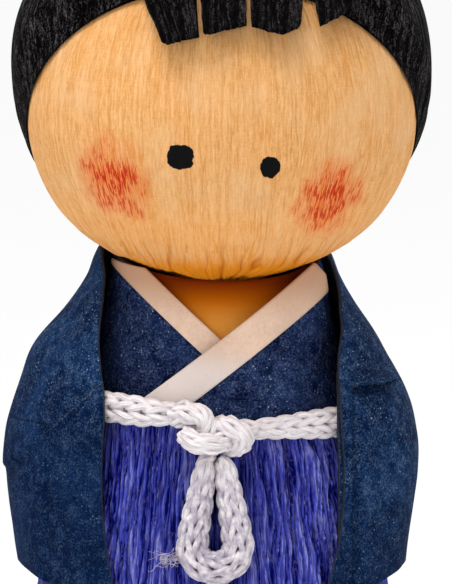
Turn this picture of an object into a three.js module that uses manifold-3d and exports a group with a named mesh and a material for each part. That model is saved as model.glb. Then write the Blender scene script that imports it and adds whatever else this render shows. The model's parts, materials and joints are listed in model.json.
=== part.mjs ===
// A small Japanese paper doll: a crepe-paper ball head on a wrapped card tube, dressed in
// a washi kimono, a pleated hakama tied with a knitted cord, and an open haori jacket.
// Millimetres, +Z up. The origin is the middle of the base disc's underside, and the doll
// faces -Y, so +X is on the viewer's right.
import * as THREE from "three";
import { mergeVertices } from "three/addons/utils/BufferGeometryUtils.js";
import Module from "manifold-3d";

const wasm = await Module();
wasm.setup();

// Papers and clearances
const fitGap = 0.3; // between glued or wrapped layers
const turnGap = 0.5; // between the turning head and the clothes under it
const washi = 0.35; // kimono and collar paper
const haoriPaper = 0.45;
const crepe = 0.5; // crepe paper with its wrinkles pressed flat
const card = 1.2; // wall of the rolled card tube

// Head ball
const headWidth = 49.2;
const headHeight = 44.5;
const chinHeight = 51.8; // underside of the ball above the table
const headForward = 4; // the ball's axis in front of the body's axis
const headAside = 1.25; // and to the viewer's right of it
const gatherCount = 22; // folds where the face paper is drawn in under the chin
const gatherDepth = 0.3;
const gatherFrom = 0.6; // share of the half height below the middle where the folds start
const tailRadius = 3.6; // gathered end of the face paper
const tailLength = 3.2;
const threadWidth = 0.5;
const threadTurns = 2;
const threadPitch = 0.95;

// Hair
const hairDrop = 15.6; // hem of the hair below the middle of the ball
const hairlineSetback = 5.9; // the front cut, in front of the ball's axis at mid height
const hairlineTilt = 40; // degrees that the front cut leans from upright
const hairAtHem = 0.9; // thickness at the hem, at the temples, above them and on the crown
const hairAtTemple = 1.1;
const hairAtSwell = 4.1;
const hairAtCrown = 3.8;
const fringePaper = 0.6;
const fringeLift = 2; // how far a strip stands off the forehead at its reach
const fringeReach = 1 / 6; // of the head's width, down from the hairline
const fringeRoot = 3; // length tucked under the hair
const slitRise = 0.6; // the slits run this far under the hair
// Fringe strips: the left and right edge at the hairline, in shares of the ball's half width, and the
// points of the cut end, as that share and how far below the hairline it is cut
const fringeStrips = [
  { left: -0.423, right: -0.13, end: [[-0.301, 4.6], [-0.118, 4.4]] },
  { left: -0.118, right: 0.122, end: [[-0.0935, 4.15], [0.122, 2.9]] },
  { left: 0.142, right: 0.415, end: [[0.1545, 2.9], [0.293, 3.25], [0.394, 1.75]] },
  { left: 0.455, right: 0.707, end: [[0.488, 1], [0.56, -0.8], [0.691, -0.8]] },
];

// Neck peg
const pegRadius = 2;
const pegInHead = 32;
const pegInBody = 25;
const pegGap = 0.2; // running clearance in the socket
const socketWall = 1.2;
const socketLength = 20;

// Body tube: half width, and half depth, at the base, the waist and the neck
const baseCard = 1.6;
const tubeFoot = { wide: 16.4, deep: 13.5 };
const tubeWaist = { wide: 14.7, deep: 12.1 };
const tubeNeck = { wide: 10.8, deep: 10 };
const tubeStraight = 0.65; // share of the belt's height below which the tube is straight
const beltHeight = 35.4;
const neckHeight = 56;

// Kimono collars: the neck edge from the shoulder down to the crossing, as run and drop
const collarUnder = { width: 2.9, shoulder: -8.6, height: 54, run: 11.2, drop: 10.3 };
const collarOver = { width: 4.1, shoulder: 12.7, height: 54, run: -21, drop: 16 };
const collarTuck = 0.8; // the panel's edge lies this far inside its collar's edge
const kimonoTuck = 4; // how far the kimono reaches down inside the hakama

// Hakama
const hakamaRise = 1.1; // its top edge above the middle of the belt
const hakamaHem = { wide: 22.9, deep: 18.4 };
const hakamaLift = 0.5; // hem above the table
const hakamaFlare = 1.6; // the skirt widens quickly below the belt
const pleatCount = 28;
const pleatDepth = 0.25;

// Knitted cord
const cordWidth = 4; // across the belt, as it lies flattened
const cordThick = 2.4;
const knotCord = 2; // pulled tight in the knot
const knotTurns = 1.5;
const knotPitch = 2.55;
const knotRadius = 1.9;
const knotStretch = 1.35; // the knot is wider than it is deep
const knotAside = 0.4;
const knotLift = 0.4; // its first turn above the middle of the belt
const knotReach = 1.7; // cord widths from the knot's side to the belt's ends
const knotLead = 0.5; // the knot's ends leave the belt in line with it for this far
// The last turn's way up to the belt, in cord widths: out from the knot's side, back and up
const knotRise = [[0.45, 0.25, -0.05], [1, 0.5, 0.4], [1.4, 0.7, 1]];
const loopLength = 12.4; // from the knot to the bottom of the bow loop, down its middle line
const loopWidth = 5.8; // between the middle lines of its legs
const loopCord = 4; // diameter at the bottom of the loop
const loopNeck = 2.1; // and where the legs leave the knot
const loopBelly = { out: 0.65, down: 0.32 }; // share of the spread, and of the length, where a leg bows out
const loopLean = 1.2; // the bottom hangs this far in front of the top

// Haori: how far it stands off the tube at the side, the front and the back, from hem to neck. Between
// those, it is the share of the way up from the hem to the belt, or from the belt to the neck
const haoriHem = { side: 7.4, front: 7.0, back: 7.6 };
const haoriSkirt = { up: 0.37, side: 8.7, front: 5.6, back: 7.6 };
const haoriPuff = { up: 0.74, side: 10.5, front: 5.6, back: 7.6 };
const haoriBelt = { side: 10.5, front: 6.6, back: 8.0 };
const haoriChest = { up: 0.33, side: 8.6, front: 5.4, back: 6.5 };
const haoriNeck = { side: 3.9, front: 4.3, back: 4.4 };
const haoriHemHeight = 11; // in the middle of the front and back
const haoriHemRise = 5; // higher than that at the sides
const openingLeft = -13.5; // front edges
const openingRight = 16.4;
// Armholes: the edge of the front and back bands, and the top
const armholeLeft = { inset: 20.4, height: 34.5 };
const armholeRight = { inset: 17.5, height: 39.2 };
const sleeveTuck = 1.6; // the sleeve's top inside the yoke
const sleeveBend = { from: 3, to: 0.8 }; // heights below the armhole's top between which it bends in

// Facets
const roundSegments = 44;
const shellRings = 5;
const haoriRings = 12;
const rodSegments = 24;
const ballStep = 15; // degrees of latitude

const paper = (color) => new THREE.MeshStandardMaterial({ color, roughness: 0.85, metalness: 0 });
const skinPaper = paper(0xe4a666);
const chestPaperColour = paper(0xbf7628);
const hairPaper = paper(0x19151a);
const kimonoPaper = paper(0x222d4a);
const collarPaper = paper(0xd8c4b4);
const hakamaPaper = paper(0x3a3f8a);
const haoriWashi = paper(0x17294a);
const cordYarn = paper(0xcfc6cd);
const plainCard = paper(0xb09a78);
const wadding = paper(0xe8e4dc);
const bamboo = paper(0xc8a66a);

const headCentre = new THREE.Vector3(headAside, -headForward, chinHeight + headHeight / 2);
const clamp = THREE.MathUtils.clamp;
const radians = THREE.MathUtils.degToRad;
const degrees = THREE.MathUtils.radToDeg;

// Booleans work on closed meshes that share their vertices.
function solid(geometry) {
  const bare = geometry.index ? geometry.toNonIndexed() : geometry.clone();
  for (const name of Object.keys(bare.attributes)) {
    if (name !== "position") bare.deleteAttribute(name);
  }
  const merged = mergeVertices(bare, 1e-4);
  const kept = [];
  const index = merged.index.array;
  for (let i = 0; i < index.length; i += 3) {
    const [a, b, c] = index.subarray(i, i + 3);
    if (a !== b && b !== c && c !== a) kept.push(a, b, c);
  }
  const vertProperties = new Float32Array(merged.attributes.position.array);
  return new wasm.Manifold(new wasm.Mesh({ numProp: 3, vertProperties, triVerts: new Uint32Array(kept) }));
}

function geometryOf(made) {
  const mesh = made.getMesh();
  const geometry = new THREE.BufferGeometry();
  geometry.setAttribute("position", new THREE.BufferAttribute(mesh.vertProperties, mesh.numProp));
  geometry.setIndex(new THREE.BufferAttribute(mesh.triVerts, 1));
  geometry.computeVertexNormals();
  return geometry;
}

function node(name, shape, material) {
  const geometry = shape.isBufferGeometry ? shape : geometryOf(shape);
  const mesh = new THREE.Mesh(geometry, material.clone());
  mesh.name = name;
  return mesh;
}

// Moves each vertex of a geometry by a function of its place.
function moved(geometry, move) {
  const place = geometry.getAttribute("position");
  const point = new THREE.Vector3();
  for (let i = 0; i < place.count; i++) {
    move(point.fromBufferAttribute(place, i));
    place.setXYZ(i, point.x, point.y, point.z);
  }
  return geometry;
}

// A profile of [radius, height] points turned round the Z axis; its outer side runs upwards.
function revolve(profile, segments = roundSegments) {
  const points = profile.map(([r, z]) => new THREE.Vector2(r, z));
  return new THREE.LatheGeometry(points, segments).rotateX(Math.PI / 2);
}

// An outline in the front view, as [x, z] points, extruded from one depth to another.
function frontPrism(outline, fromY, toY) {
  const shape = new THREE.Shape(outline.map(([x, z]) => new THREE.Vector2(x, z)));
  const geometry = new THREE.ExtrudeGeometry(shape, { depth: toY - fromY, bevelEnabled: false });
  return geometry.rotateX(Math.PI / 2).translate(0, toY, 0);
}

// A smooth value along the height, through [height, value] stations.
function along(stations) {
  const last = stations.length - 1;
  const slopes = stations.map((_, i) => {
    const [z0, v0] = stations[Math.max(i - 1, 0)];
    const [z1, v1] = stations[Math.min(i + 1, last)];
    return (v1 - v0) / (z1 - z0);
  });
  return (z) => {
    const height = clamp(z, stations[0][0], stations[last][0]);
    const i = Math.max(stations.findIndex(([top]) => top >= height), 1) - 1;
    const [z0, v0] = stations[i];
    const [z1, v1] = stations[i + 1];
    const span = z1 - z0;
    const t = (height - z0) / span;
    const rise = v0 + (v1 - v0) * t * t * (3 - 2 * t);
    return rise + span * (t * (1 - t) * ((1 - t) * slopes[i] - t * slopes[i + 1]));
  };
}

// A body section gives the half width and the front and back half depth at each height.
function section(stations) {
  return {
    wide: along(stations.map((s) => [s.z, s.wide])),
    front: along(stations.map((s) => [s.z, s.front])),
    back: along(stations.map((s) => [s.z, s.back])),
  };
}

// Presses a revolved form to a section: a point that stood off the width stands as far off the depth.
function pressed(geometry, { wide, front, back }) {
  return moved(geometry, (p) => {
    const radius = Math.hypot(p.x, p.y);
    if (radius === 0) return;
    const depth = (p.y < 0 ? front(p.z) : back(p.z)) + radius - wide(p.z);
    p.y *= depth / radius;
  });
}

function heights(low, high, rings) {
  return Array.from({ length: rings + 1 }, (_, i) => low + ((high - low) * i) / rings);
}

// A shell round a section, between two offsets from it, which may change with height.
function layer(body, low, high, inner, outer, rings = shellRings, segments = roundSegments) {
  const off = (value, z) => (typeof value === "function" ? value(z) : value);
  const rise = heights(low, high, rings).map((z) => [body.wide(z) + off(outer, z), z]);
  const fall = heights(low, high, rings).map((z) => [body.wide(z) + off(inner, z), z]).reverse();
  return pressed(revolve([...rise, ...fall, rise[0]], segments), body);
}

// A closed solid that fills a section up to an offset from it.
function filling(body, low, high, outer, rings = shellRings) {
  const wall = heights(low, high, rings).map((z) => [body.wide(z) + outer, z]);
  return pressed(revolve([[0, low], ...wall, [0, high]]), body);
}

const along3 = (points) => new THREE.CatmullRomCurve3(points.map(([x, y, z]) => new THREE.Vector3(x, y, z)));

// An oval cord along a curve: the first half axis lies along the frame's normal, the second across it.
function cordAlong(curve, halfNormal, halfAcross, steps, sides) {
  const oval = new THREE.Shape(
    Array.from({ length: sides }, (_, i) => {
      const turn = (2 * Math.PI * i) / sides;
      return new THREE.Vector2(halfNormal * Math.cos(turn), halfAcross * Math.sin(turn));
    }),
  );
  return new THREE.ExtrudeGeometry(oval, { steps, extrudePath: curve, bevelEnabled: false });
}

// Narrows a cord about its middle line by a factor that depends on the share of its length.
function tapered(geometry, curve, factor, samples = 400) {
  const line = curve.getSpacedPoints(samples);
  return moved(geometry, (p) => {
    let nearest = 0;
    line.forEach((q, i) => {
      if (q.distanceToSquared(p) < line[nearest].distanceToSquared(p)) nearest = i;
    });
    p.sub(line[nearest]).multiplyScalar(factor(nearest / samples)).add(line[nearest]);
  });
}

// The least gap between parts of a wound cord that aren't neighbours along it.
function leastGap(curve, diameter, samples = 300) {
  const line = curve.getSpacedPoints(samples);
  const apart = Math.ceil((2.5 * diameter * samples) / curve.getLength());
  let least = Infinity;
  line.forEach((p, i) => {
    for (let j = i + apart; j < line.length; j++) least = Math.min(least, p.distanceTo(line[j]) - diameter);
  });
  return least;
}

// The ball, grown by an offset that may change with latitude, between two latitudes in degrees.
function ballProfile(offset, from, to) {
  const rows = heights(-90, 90, 180 / ballStep).filter((row) => row > from + 1 && row < to - 1);
  return [from, ...rows, to].map((latitude) => {
    const grown = typeof offset === "function" ? offset(latitude) : offset;
    const turn = radians(latitude);
    const radius = Math.abs(latitude) === 90 ? 0 : (headWidth / 2 + grown) * Math.cos(turn);
    return [radius, (headHeight / 2 + grown) * Math.sin(turn)];
  });
}

function ball(offset) {
  return revolve(ballProfile(offset, -90, 90)).translate(...headCentre);
}

// Latitude where the ball, grown by an offset, has the given radius below its middle.
const latitudeOfRadius = (radius, offset) => -degrees(Math.acos(radius / (headWidth / 2 + offset)));

// Body sections, worked out from the tube outwards
const tube = section([
  { z: 0, wide: tubeFoot.wide, front: tubeFoot.deep, back: tubeFoot.deep },
  { z: beltHeight * tubeStraight, wide: tubeFoot.wide, front: tubeFoot.deep, back: tubeFoot.deep },
  { z: beltHeight, wide: tubeWaist.wide, front: tubeWaist.deep, back: tubeWaist.deep },
  { z: neckHeight, wide: tubeNeck.wide, front: tubeNeck.deep, back: tubeNeck.deep },
]);
const layerStep = fitGap + washi;
const chestIn = fitGap;
const kimonoUnderIn = chestIn + layerStep;
const collarUnderIn = kimonoUnderIn + layerStep;
const kimonoOverIn = collarUnderIn + layerStep;
const collarOverIn = kimonoOverIn + layerStep;
const hakamaOut = kimonoOverIn + washi + fitGap + pleatDepth + crepe; // mean outer face at the waist
const beltIn = hakamaOut + pleatDepth + fitGap;
const beltMiddle = beltIn + cordThick / 2;
const hakamaTop = beltHeight + hakamaRise;
const hakama = section(
  heights(hakamaLift, hakamaTop, shellRings).map((z) => {
    const flare = 1 - ((z - hakamaLift) / (hakamaTop - hakamaLift)) ** hakamaFlare;
    const blend = (top, hem) => top + (hem - top) * flare;
    const front = blend(tube.front(hakamaTop) + hakamaOut, hakamaHem.deep);
    return { z, wide: blend(tube.wide(hakamaTop) + hakamaOut, hakamaHem.wide), front, back: front };
  }),
);
const haoriStations = [
  [haoriHemHeight, haoriHem],
  [haoriHemHeight + (beltHeight - haoriHemHeight) * haoriSkirt.up, haoriSkirt],
  [haoriHemHeight + (beltHeight - haoriHemHeight) * haoriPuff.up, haoriPuff],
  [beltHeight, haoriBelt],
  [beltHeight + (neckHeight - beltHeight) * haoriChest.up, haoriChest],
  [neckHeight, haoriNeck],
];
const haori = section(
  haoriStations.map(([z, stand]) => ({
    z,
    wide: tube.wide(z) + stand.side,
    front: tube.front(z) + stand.front,
    back: tube.back(z) + stand.back,
  })),
);

const clearOfHead = solid(ball(turnGap));
const far = 4 * headWidth; // reaches past everything

// Head, turning on its peg
function makeHeadCore() {
  const inside = -crepe - fitGap;
  const bore = pegRadius + fitGap;
  const low = latitudeOfRadius(bore, inside);
  const boreTop = -headHeight / 2 + pegInHead + fitGap;
  const profile = [[0, boreTop], [bore, boreTop], ...ballProfile(inside, low, 90)];
  return node("head_core", revolve(profile, rodSegments).translate(...headCentre), wadding);
}

// The face paper is drawn into folds towards the tail under the chin.
function makeFaceSkin() {
  const tailIn = pegRadius + fitGap;
  const outer = ballProfile(0, latitudeOfRadius(tailRadius, 0), 90);
  const inner = ballProfile(-crepe, latitudeOfRadius(tailIn, -crepe), 90).reverse();
  const tailEnd = -headHeight / 2 - tailLength;
  const profile = [[tailIn, tailEnd], [tailRadius, tailEnd], ...outer, ...inner, [tailIn, tailEnd]];
  const skin = moved(revolve(profile, 2 * gatherCount), (p) => {
    const radius = Math.hypot(p.x, p.y);
    const low = clamp((-p.z / (headHeight / 2) - gatherFrom) / (1 - gatherFrom), 0, 1);
    const onFace = (2 * radius / headWidth) ** 2 + (2 * p.z / headHeight) ** 2 > 0.99;
    if (!onFace || p.z < -headHeight / 2) return;
    p.z += 0.5 * gatherDepth * low * (1 + Math.cos(gatherCount * Math.atan2(p.y, p.x)));
  });
  return node("face_skin", skin.translate(...headCentre), skinPaper);
}

function makeNeckThread() {
  const ring = tailRadius + fitGap + threadWidth / 2;
  const top = chinHeight - fitGap - threadWidth;
  const steps = 16 * threadTurns;
  const coil = along3(
    heights(0, threadTurns, steps).map((turn) => {
      const angle = 2 * Math.PI * turn;
      return [ring * Math.cos(angle), ring * Math.sin(angle), -threadPitch * turn];
    }),
  );
  console.log("neck thread, least gap to itself:", leastGap(coil, threadWidth).toFixed(2), "mm");
  const thread = cordAlong(coil, threadWidth / 2, threadWidth / 2, steps, 5);
  return node("neck_thread", thread.translate(headAside, -headForward, top), collarPaper);
}

function makeNeckPeg() {
  const peg = revolve(
    [
      [0, chinHeight - pegInBody],
      [pegRadius, chinHeight - pegInBody],
      [pegRadius, chinHeight + pegInHead],
      [0, chinHeight + pegInHead],
    ],
    rodSegments,
  );
  return node("neck_peg", peg.translate(headAside, -headForward, 0), bamboo);
}

// The sloping half space in front of the hairline, moved back by a distance.
function beforeHairline(back) {
  const block = new THREE.BoxGeometry(far, far, far).translate(0, -far / 2 + back, 0);
  block.rotateX(radians(hairlineTilt));
  return solid(block.translate(headCentre.x, headCentre.y - hairlineSetback, headCentre.z));
}

const acrossHead = (share) => (share * headWidth) / 2;
const strips = fringeStrips.map(({ left, right, end }) => ({
  left: acrossHead(left),
  right: acrossHead(right),
  end: end.map(([x, drop]) => [acrossHead(x), hairlineAt(acrossHead(x)) - drop]),
}));

// Where the fringe's root lies under the hair.
function fringePocket(grow) {
  const [first, last] = [strips[0].left, strips.at(-1).right];
  const top = headHeight;
  const outline = [[first - grow, 0], [last + grow, 0], [last + grow, top], [first - grow, top]];
  const block = frontPrism(outline, -headWidth, 0).translate(...headCentre);
  return solid(block).subtract(solid(ball(fitGap / 2))).intersect(beforeHairline(fringeRoot + grow));
}

function makeHairCap() {
  const hem = -degrees(Math.asin(hairDrop / (headHeight / 2)));
  const thickness = along([[hem, hairAtHem], [0, hairAtTemple], [38, hairAtSwell], [90, hairAtCrown]]);
  const outer = ballProfile((latitude) => fitGap + thickness(latitude), hem, 90);
  const shell = revolve([[0, outer[0][1]], ...outer]).translate(...headCentre);
  const pocket = fringePocket(fitGap).intersect(solid(ball(fringePaper + 3 * fitGap)));
  const cap = solid(shell).subtract(solid(ball(fitGap))).subtract(beforeHairline(0)).subtract(pocket);
  return node("hair_cap", cap, hairPaper);
}

// A comb of paper strips: the root joins them, and their cut ends stand off the forehead.
function makeFringe() {
  const rootTop = headHeight;
  const outline = strips.flatMap(({ left, right, end }, i) => {
    const next = strips[i + 1];
    const strip = [[left, hairlineAt(left)], ...end, [right, hairlineAt(right)]];
    return next ? [...strip, [(right + next.left) / 2, hairlineAt(right) + slitRise]] : strip;
  });
  outline.push([strips.at(-1).right, rootTop], [strips[0].left, rootTop]);
  const cut = solid(frontPrism(outline, -headWidth, 0).translate(...headCentre));
  const sheet = solid(ball(fringePaper + fitGap)).subtract(solid(ball(fitGap)));
  const flat = sheet.intersect(cut).intersect(fringePocket(0).add(beforeHairline(0)));
  const tilt = radians(hairlineTilt);
  const lifted = moved(geometryOf(flat), (p) => {
    const [y, z] = [p.y - headCentre.y + hairlineSetback, p.z - headCentre.z];
    const below = -(y * Math.cos(tilt) + z * Math.sin(tilt)) / (fringeReach * headWidth);
    if (below > 0) p.y -= fringeLift * below ** 2;
  });
  return node("fringe", lifted, hairPaper);
}

// Height above the ball's middle where the hairline crosses the ball, at a place across it.
function hairlineAt(x) {
  const lean = Math.tan(radians(hairlineTilt));
  const square = lean ** 2 + (headWidth / headHeight) ** 2;
  const half = hairlineSetback * lean;
  const rest = hairlineSetback ** 2 + x ** 2 - (headWidth / 2) ** 2;
  return (Math.sqrt(half ** 2 - square * rest) - half) / square;
}

// Base and body tube
function makeBaseDisc() {
  const inset = pleatDepth + crepe + 2 * fitGap;
  const rim = new THREE.Shape();
  rim.absellipse(0, 0, hakamaHem.wide - inset, hakamaHem.deep - inset, 0, 2 * Math.PI);
  const disc = new THREE.ExtrudeGeometry(rim, { depth: baseCard, bevelEnabled: false, curveSegments: 28 });
  return node("base_disc", disc, plainCard);
}

function makeBodyTube() {
  return node("body_tube", layer(tube, baseCard + fitGap, chinHeight - turnGap, -card, 0), plainCard);
}

const socketTop = chinHeight - tailLength - fitGap;
const socketOut = pegRadius + pegGap + socketWall;

function makeBodyWadding() {
  const top = socketTop - fitGap;
  const bottom = baseCard + fitGap;
  const stuffing = solid(filling(tube, bottom, top, -card - fitGap));
  const hole = socketOut + fitGap;
  const floor = chinHeight - pegInBody - fitGap;
  const bore = revolve([[0, floor], [hole, floor], [hole, neckHeight], [0, neckHeight]], rodSegments);
  return node("body_wadding", stuffing.subtract(solid(bore.translate(headAside, -headForward, 0))), wadding);
}

function makeNeckSocket() {
  const [low, high] = [socketTop - socketLength, socketTop];
  const [bore, out] = [pegRadius + pegGap, socketOut];
  const sleeve = revolve([[bore, low], [out, low], [out, high], [bore, high], [bore, low]], rodSegments);
  return node("neck_socket", sleeve.translate(headAside, -headForward, 0), plainCard);
}

// Kimono, from the skin-coloured chest paper outwards
const kimonoLow = hakamaTop - kimonoTuck;
const collarLow = hakamaTop + fitGap;

// A front patch of a layer, inside an outline of [x, z] points and clear of the head.
function frontPatch(inner, low, outline) {
  const shell = solid(layer(tube, low, neckHeight, inner, inner + washi));
  return shell.intersect(solid(frontPrism(outline, -far, -fitGap / 2))).subtract(clearOfHead);
}

// The neck edge of a collar, as a function from height to x.
const neckEdge = ({ shoulder, height, run, drop }) => (z) => shoulder + (run * (height - z)) / drop;

function collarStrip(collar) {
  const edge = neckEdge(collar);
  const aside = Math.sign(collar.run);
  const across = (collar.width * Math.hypot(collar.run, collar.drop)) / collar.drop;
  const [low, high] = [collarLow, neckHeight];
  return [
    [edge(low), low],
    [edge(high), high],
    [edge(high) - aside * across, high],
    [edge(low) - aside * across, low],
  ];
}

function panel(collar) {
  const edge = neckEdge(collar);
  const aside = Math.sign(collar.run);
  const back = aside * collarTuck;
  return [
    [-aside * far, kimonoLow],
    [edge(collarLow) - back, kimonoLow],
    [edge(collarLow) - back, collarLow],
    [edge(neckHeight) - back, neckHeight],
    [-aside * far, neckHeight],
  ];
}

const chestOutline = [[-far, 0], [far, 0], [far, neckHeight], [-far, neckHeight]];

function makeKimono() {
  const backHalf = solid(new THREE.BoxGeometry(far, far, far).translate(0, far / 2 + fitGap / 2, 0));
  const backShell = solid(layer(tube, kimonoLow, neckHeight, kimonoUnderIn, kimonoUnderIn + washi));
  return [
    node("chest_paper", frontPatch(chestIn, hakamaTop, chestOutline), chestPaperColour),
    node("kimono_back", backShell.intersect(backHalf).subtract(clearOfHead), kimonoPaper),
    node("kimono_under", frontPatch(kimonoUnderIn, kimonoLow, panel(collarUnder)), kimonoPaper),
    node("kimono_over", frontPatch(kimonoOverIn, kimonoLow, panel(collarOver)), kimonoPaper),
    node("collar_under", frontPatch(collarUnderIn, collarLow, collarStrip(collarUnder)), collarPaper),
    node("collar_over", frontPatch(collarOverIn, collarLow, collarStrip(collarOver)), collarPaper),
  ];
}

function makeHakama() {
  const skirt = layer(hakama, hakamaLift, hakamaTop, -crepe, 0, 4, 4 * pleatCount);
  const pleated = moved(skirt, (p) => {
    const radius = Math.hypot(p.x, p.y);
    const turn = Math.atan2(p.y / hakama.front(p.z), p.x / hakama.wide(p.z));
    const fold = pleatDepth * Math.cos(pleatCount * turn);
    p.x *= 1 + fold / radius;
    p.y *= 1 + fold / radius;
  });
  return node("hakama", pleated, hakamaPaper);
}

// Belt, knot and bow loop of one knitted cord
const knotDepth = hakama.front(beltHeight) + pleatDepth + fitGap + knotCord / 2 + knotRadius;
const knotTop = beltHeight + knotLift;
const knotLow = knotTop - knotTurns * knotPitch; // middle line of the lowest turn
const beltWide = tube.wide(beltHeight) + beltMiddle;
const beltDeep = tube.front(beltHeight) + beltMiddle;
const knotHalf = knotRadius * knotStretch;
const knotSide = knotHalf + knotReach * knotCord; // where the belt's ends reach the knot
const knotEndTaper = 0.5;

const onBelt = (x) => [x, -beltDeep * Math.sqrt(1 - (x / beltWide) ** 2), beltHeight];

function makeBelt() {
  const start = Math.asin((knotAside - knotSide) / beltWide);
  const end = Math.asin((knotAside + knotSide) / beltWide) - 2 * Math.PI;
  const route = along3(
    heights(start, end, 40).map((turn) => {
      return [beltWide * Math.sin(turn), -beltDeep * Math.cos(turn), beltHeight];
    }),
  );
  const band = cordAlong(route, cordWidth / 2, cordThick / 2, 44, 8);
  const endShare = cordWidth / route.getLength();
  const factor = (share) => {
    const inwards = clamp(Math.min(share, 1 - share) / endShare, 0, 1);
    return knotEndTaper + (1 - knotEndTaper) * Math.sin((inwards * Math.PI) / 2);
  };
  return node("belt_cord", tapered(band, route, factor), cordYarn);
}

// The knot winds round the neck of the bow loop, from the left end of the belt to its right end.
function makeKnot() {
  const reach = knotSide - fitGap;
  const left = [onBelt(knotAside - reach), onBelt(knotAside - reach + knotLead)];
  const right = [onBelt(knotAside + reach - knotLead), onBelt(knotAside + reach)];
  const winding = heights(0, knotTurns, 24 * knotTurns).map((turn) => {
    const angle = Math.PI * (2 * turn - 1);
    const x = knotAside + knotHalf * Math.cos(angle);
    return [x, -knotDepth + knotRadius * Math.sin(angle), knotTop - knotPitch * turn];
  });
  const rise = knotRise.map(([out, back, up]) => [
    knotAside + knotHalf + out * knotCord,
    -knotDepth + back * knotCord,
    knotLow + up * knotCord,
  ]);
  const route = along3([...left, ...winding, ...rise, ...right]);
  console.log("bow knot, least gap to itself:", leastGap(route, knotCord).toFixed(2), "mm");
  return node("bow_knot", cordAlong(route, knotCord / 2, knotCord / 2, 48, 7), cordYarn);
}

const loopHinge = new THREE.Vector3(knotAside, -knotDepth, knotLow - knotCord / 2 - fitGap - loopNeck / 2);

function makeLoop() {
  const half = loopWidth / 2;
  const neck = (loopNeck + fitGap) / 2;
  const bottom = -loopLength + half;
  const belly = [-neck - (half - neck) * loopBelly.out, -loopLength * loopBelly.down];
  const legs = [[-neck, 0], belly, [-half, bottom]];
  const bend = [0.25, 0.5, 0.75].map((share) => {
    const turn = Math.PI * (1 + share);
    return [half * Math.cos(turn), bottom + half * Math.sin(turn)];
  });
  const flat = [...legs, ...bend, ...legs.map(([x, z]) => [-x, z]).reverse()];
  const route = along3(flat.map(([x, z]) => [x, (loopLean * z) / loopLength, z]));
  const ratio = loopNeck / loopCord;
  const factor = (share) => ratio + (1 - ratio) * Math.sin(Math.PI * share) ** 0.6;
  const legsTube = tapered(cordAlong(route, loopCord / 2, loopCord / 2, 36, 8), route, factor);
  const barHalf = neck + loopNeck / 2;
  const bar = new THREE.CylinderGeometry(loopNeck / 2, loopNeck / 2, 2 * barHalf, 16).rotateZ(Math.PI / 2);
  return node("bow_loop", geometryOf(solid(legsTube).add(solid(bar))).translate(...loopHinge), cordYarn);
}

// Haori: a yoke, back and front bands in one sheet, with a sleeve tucked into each armhole
const hemHalf = haori.wide(haoriHemHeight);
const hemLine = (x) => haoriHemHeight + haoriHemRise * clamp(Math.abs(x) / hemHalf, 0, 1) ** 3;

function belowHem() {
  const reach = far / 2;
  const edge = heights(-haori.wide(beltHeight), haori.wide(beltHeight), 24).map((x) => [x, hemLine(x)]);
  const side = edge.at(-1)[1];
  const outline = [[-reach, -1], [reach, -1], [reach, side], ...edge.reverse(), [-reach, side]];
  return solid(frontPrism(outline, -reach, reach));
}

// The side of the doll beyond an armhole's edge, from a height up to another; side is -1 or 1.
function besideBody(side, inset, low, high) {
  const [inner, outer] = [side * inset, side * far];
  const outline = [[inner, low], [outer, low], [outer, high], [inner, high]];
  return solid(frontPrism(side > 0 ? outline : outline.reverse(), -far, far));
}

function makeSleeve(name, side, { inset, height }) {
  const tuckIn = -haoriPaper - fitGap;
  const top = height + sleeveTuck;
  const sink = along([[height - sleeveBend.from, 0], [height - sleeveBend.to, tuckIn], [top, tuckIn]]);
  const shell = layer(haori, haoriHemHeight, top, (z) => sink(z) - haoriPaper, sink, haoriRings);
  const beside = besideBody(side, inset + fitGap, 0, top + fitGap);
  return node(name, solid(shell).subtract(belowHem()).intersect(beside), haoriWashi);
}

function makeHaori() {
  const sheet = solid(layer(haori, haoriHemHeight, neckHeight, -haoriPaper, 0, haoriRings));
  const open = [[openingLeft, 0], [openingRight, 0], [openingRight, far], [openingLeft, far]];
  const opening = solid(frontPrism(open, -far, 0));
  const body = sheet
    .subtract(opening)
    .subtract(clearOfHead)
    .subtract(belowHem())
    .subtract(besideBody(-1, armholeLeft.inset, 0, armholeLeft.height))
    .subtract(besideBody(1, armholeRight.inset, 0, armholeRight.height));
  return [
    node("haori_body", body, haoriWashi),
    makeSleeve("sleeve_left", -1, armholeLeft),
    makeSleeve("sleeve_right", 1, armholeRight),
  ];
}

const head = new THREE.Group();
head.add(makeHeadCore(), makeFaceSkin(), makeNeckThread(), makeNeckPeg(), makeHairCap(), makeFringe());

const body = new THREE.Group();
body.add(makeBaseDisc(), makeBodyTube(), makeBodyWadding(), makeNeckSocket(), ...makeKimono());
body.add(makeHakama(), makeBelt(), makeKnot(), ...makeHaori());

console.log("bow loop hinge at", loopHinge.toArray().map((v) => v.toFixed(3)).join(", "));

const doll = new THREE.Group();
doll.add(body, head, makeLoop());

export default doll;
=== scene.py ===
import json
from math import asin, atan2, copysign, cos, degrees, exp, floor, pi, radians, sin, sqrt

import bmesh
import bpy
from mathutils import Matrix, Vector, noise


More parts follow.
